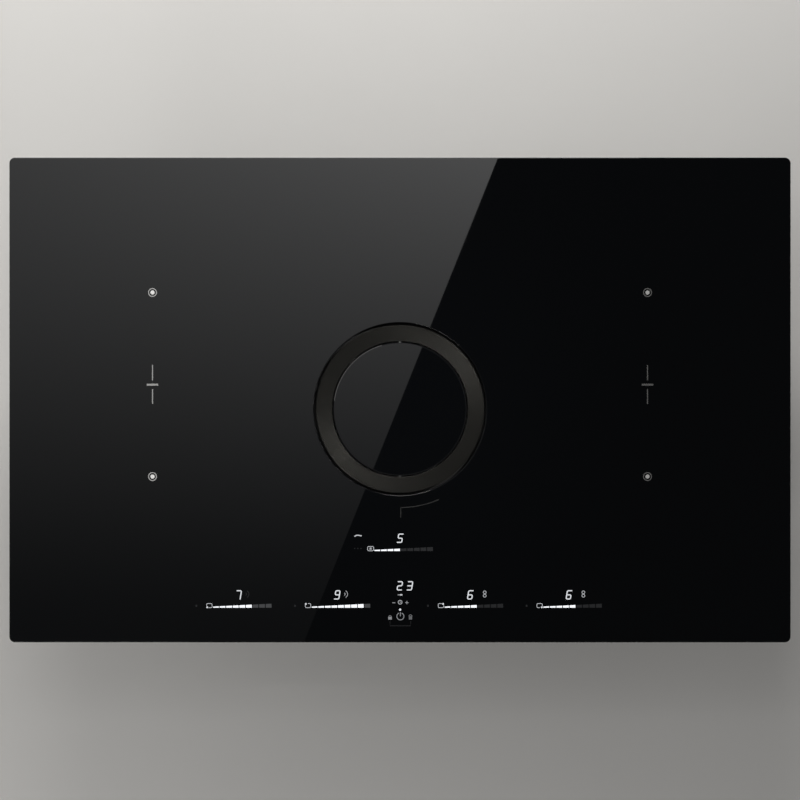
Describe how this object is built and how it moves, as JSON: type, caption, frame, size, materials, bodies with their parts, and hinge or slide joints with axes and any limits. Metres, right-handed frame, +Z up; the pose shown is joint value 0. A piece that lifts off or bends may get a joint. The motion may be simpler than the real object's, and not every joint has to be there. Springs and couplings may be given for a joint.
{
  "type": "downdraft induction cooktop",
  "caption": "Black glass induction cooktop with a round central inlet, a tilting glass flap in a lift-out ring, touch controls and a blower box below.",
  "frame": {"origin": "on the plane that the suction box stands on, under the middle of the glass plate", "axes": "+Z up, +X to the cook's right, +Y away from the cook, so that the controls are at -Y"},
  "size_m": [0.83, 0.515, 0.217],
  "materials": {
    "ceramic_glass": "polished black ceramic glass",
    "cast_iron": "fine turned satin",
    "aluminium": "satin",
    "bronze": "turned",
    "stainless": "brushed",
    "galvanised": "zinc-coated sheet",
    "black_plastic": "fine-grained moulding",
    "housing_plastic": "fine-grained moulding",
    "grey_plastic": "fine-grained moulding",
    "white_plastic": "satin moulding",
    "coil_copper": "lacquered litz winding",
    "circuit_board": "solder resist",
    "seal": "matt foam and silicone",
    "glass_print": "fired grey print",
    "display_light": "backlit white"
  },
  "bodies": {
    "cooktop": {"glass_top": "ceramic_glass", "worktop_gasket": "seal", "intake_collar": "black_plastic", "collar_seal": "seal", "intake_shaft": "black_plastic", "casing_tray": "galvanised", "coil_plate_left": "aluminium", "coil_plate_right": "aluminium", "coil_front_left": "coil_copper", "coil_front_right": "coil_copper", "coil_rear_left": "coil_copper", "coil_rear_right": "coil_copper", "temp_sensor_front_left": "white_plastic", "temp_sensor_front_right": "white_plastic", "temp_sensor_rear_left": "white_plastic", "temp_sensor_rear_right": "white_plastic", "power_board_left": "circuit_board", "power_board_right": "circuit_board", "heatsink_left": "aluminium", "heatsink_right": "aluminium", "cooling_fan_frame_left": "black_plastic", "cooling_fan_frame_right": "black_plastic", "display_carrier": "black_plastic", "control_board": "circuit_board", "display_light_guide": "white_plastic", "terminal_box": "black_plastic", "terminal_block": "white_plastic", "cable_gland": "grey_plastic", "suction_box_lower": "housing_plastic", "suction_box_upper": "housing_plastic", "blower_scroll": "black_plastic", "blower_inlet_plate": "black_plastic", "motor_plate": "galvanised", "blower_motor": "aluminium", "outlet_spigot": "black_plastic", "clamp_screw_front_left": "stainless", "clamp_screw_front_right": "stainless", "clamp_screw_rear_left": "stainless", "clamp_screw_rear_right": "stainless"},
    "ring": {"inlet_ring": "cast_iron", "flap_bush_front": "bronze", "flap_bush_rear": "bronze"},
    "flap": {"flap_glass": "ceramic_glass", "flap_carrier": "aluminium", "flap_pin_front": "stainless", "flap_pin_rear": "stainless"},
    "filter": {"filter_basket": "stainless", "filter_mesh": "stainless", "filter_grip": "stainless"},
    "impeller": {"blower_impeller": "grey_plastic", "motor_shaft": "stainless"},
    "fan_left": {"cooling_fan_rotor_left": "black_plastic"},
    "fan_right": {"cooling_fan_rotor_right": "black_plastic"},
    "drawer": {"drip_drawer": "grey_plastic"},
    "lid": {"terminal_lid": "black_plastic"},
    "swivel_front_left": {"clamp_front_left": "galvanised"},
    "swivel_front_right": {"clamp_front_right": "galvanised"},
    "swivel_rear_left": {"clamp_rear_left": "galvanised"},
    "swivel_rear_right": {"clamp_rear_right": "galvanised"}
  },
  "joints": [
    {"name": "ring_lift", "type": "slide", "parent": "cooktop", "child": "ring", "axis": [0, 0, 1], "range_m": [0, 0.2]},
    {"name": "flap_tilt", "type": "hinge", "parent": "ring", "child": "flap", "pos_m": [0, -0.0096, 0.209], "axis": [0, 1, 0], "range_deg": [0, 90]},
    {"name": "filter_lift", "type": "slide", "parent": "cooktop", "child": "filter", "axis": [0, 0, 1], "range_m": [0, 0.12]},
    {"name": "impeller_spin", "type": "hinge", "parent": "cooktop", "child": "impeller", "pos_m": [0.195, -0.05, 0.06], "axis": [0, 0, 1], "continuous": true},
    {"name": "fan_left_spin", "type": "hinge", "parent": "cooktop", "child": "fan_left", "pos_m": [-0.2629, -0.1148, 0.176], "axis": [0, 0, 1], "continuous": true},
    {"name": "fan_right_spin", "type": "hinge", "parent": "cooktop", "child": "fan_right", "pos_m": [0.2629, -0.1148, 0.176], "axis": [0, 0, 1], "continuous": true},
    {"name": "drawer_slide", "type": "slide", "parent": "cooktop", "child": "drawer", "axis": [0, -1, 0], "range_m": [0, 0.16]},
    {"name": "lid_hinge", "type": "hinge", "parent": "cooktop", "child": "lid", "pos_m": [-0.3386, 0.1975, 0.152], "axis": [0, 1, 0], "range_deg": [0, 90]},
    {"name": "clamp_front_left_swivel", "type": "hinge", "parent": "cooktop", "child": "swivel_front_left", "pos_m": [-0.2, -0.2315, 0.1425], "axis": [0, 0, -1], "range_deg": [0, 90]},
    {"name": "clamp_front_right_swivel", "type": "hinge", "parent": "cooktop", "child": "swivel_front_right", "pos_m": [0.2, -0.2315, 0.1425], "axis": [0, 0, 1], "range_deg": [0, 90]},
    {"name": "clamp_rear_left_swivel", "type": "hinge", "parent": "cooktop", "child": "swivel_rear_left", "pos_m": [-0.2, 0.2315, 0.1425], "axis": [0, 0, 1], "range_deg": [0, 90]},
    {"name": "clamp_rear_right_swivel", "type": "hinge", "parent": "cooktop", "child": "swivel_rear_right", "pos_m": [0.2, 0.2315, 0.1425], "axis": [0, 0, -1], "range_deg": [0, 90]}
  ],
  "couplings": [
    {"joint": "filter_lift", "follows": "ring_lift", "ratio": 0.6}
  ]
}
